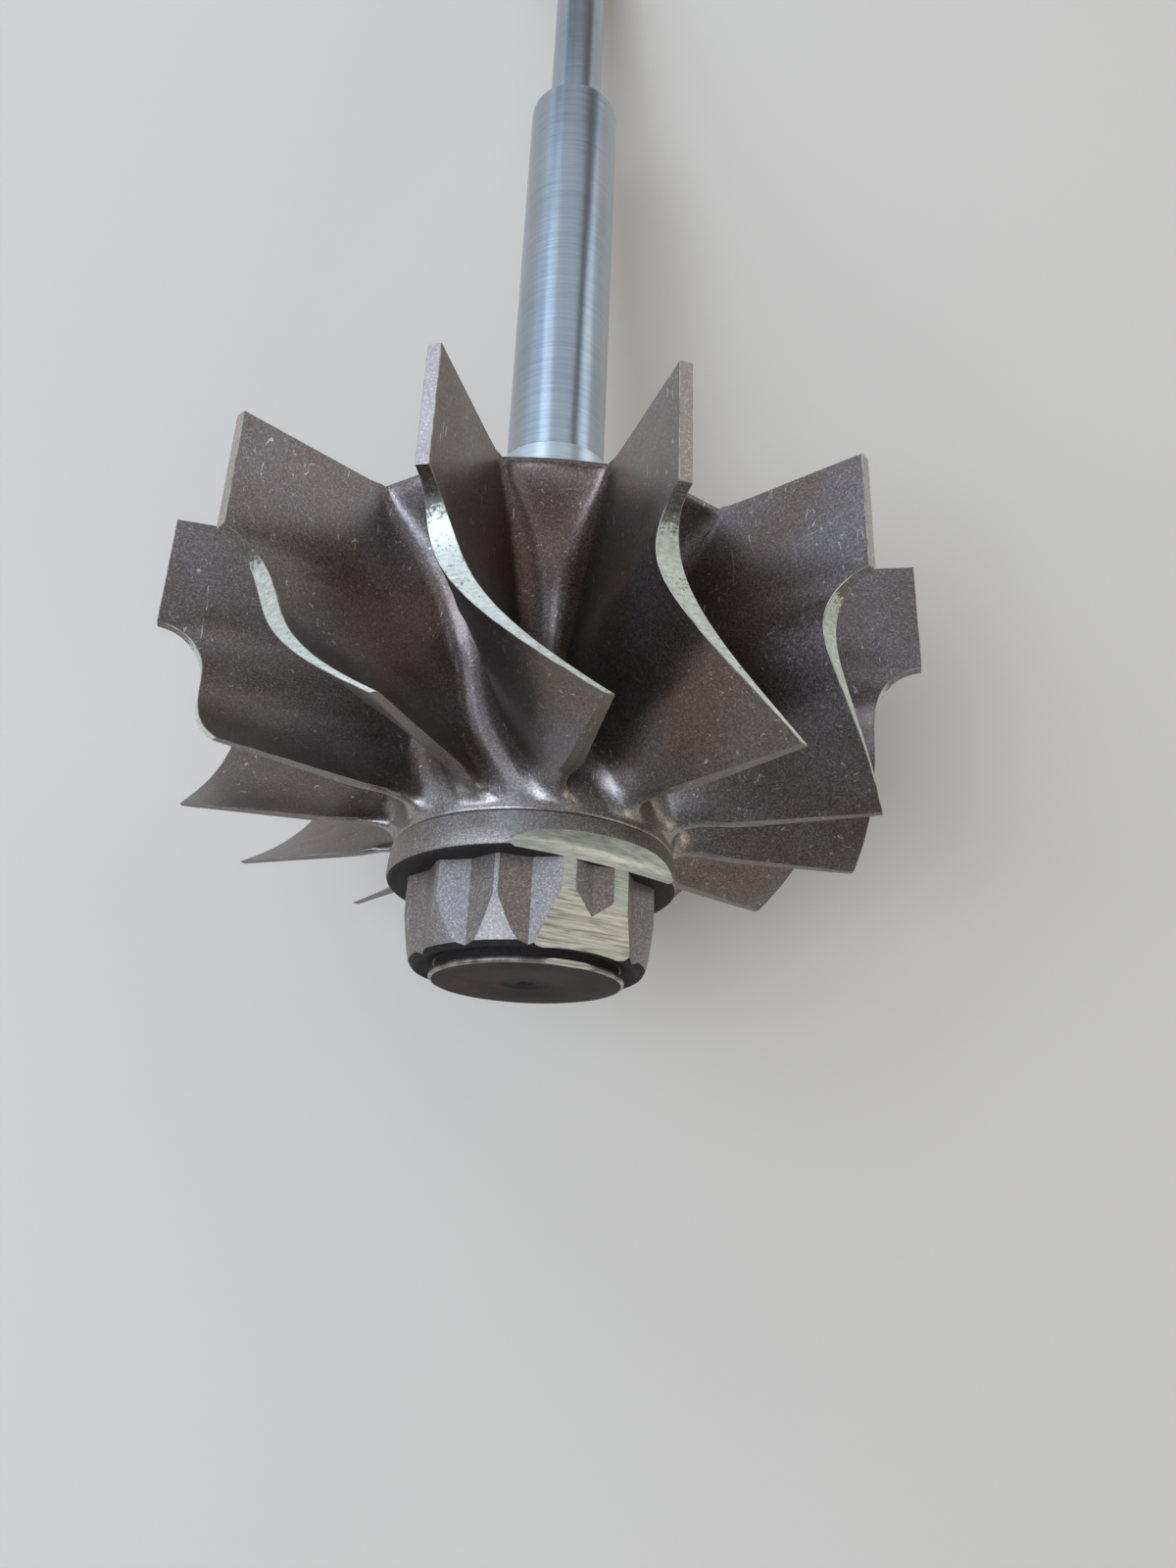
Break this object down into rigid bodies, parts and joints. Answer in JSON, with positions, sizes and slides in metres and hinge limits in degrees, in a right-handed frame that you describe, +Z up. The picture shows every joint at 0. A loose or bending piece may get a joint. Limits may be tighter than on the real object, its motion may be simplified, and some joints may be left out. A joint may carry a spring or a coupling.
{
  "type": "turbocharger shaft and wheel",
  "caption": "Radial turbine wheel with curved open blades and a notched nose nut, on a stepped ground shaft with a threaded end.",
  "frame": {"origin": "middle of the footprint of the lying rotor, on the surface that it lies on", "axes": "+Z up, +Y level and along the rotor from the nose toward the free end of the shaft, +X across it"},
  "size_m": [0.0736, 0.159, 0.0749],
  "materials": {
    "cast_hub": "dark brown-grey investment cast nickel alloy, fine grain, satin",
    "cast_blade": "dark brown-grey investment cast nickel alloy with pale ground shroud edges",
    "cast_rim": "cast, with a pale ground balancing scallop",
    "cast_nut": "cast, with a pale ground flat",
    "nose_face": "oxidised flat face with a thin bright rim",
    "turned_steel": "fine turned, bright",
    "ground_steel": "ground, smooth, bluish grey",
    "thread_steel": "rolled thread, smooth"
  },
  "bodies": {
    "root": {"wheel_hub": "cast_hub", "blade_01": "cast_blade", "blade_02": "cast_blade", "blade_03": "cast_blade", "blade_04": "cast_blade", "blade_05": "cast_blade", "blade_06": "cast_blade", "blade_07": "cast_blade", "blade_08": "cast_blade", "blade_09": "cast_blade", "blade_10": "cast_blade", "blade_11": "cast_blade", "blade_12": "cast_blade", "balance_rim": "cast_rim", "nose_nut": "cast_nut", "nose_boss": "nose_face", "seal_collar": "turned_steel", "bearing_journal": "ground_steel", "compressor_stub": "ground_steel", "stub_thread": "thread_steel"}
  },
  "joints": []
}
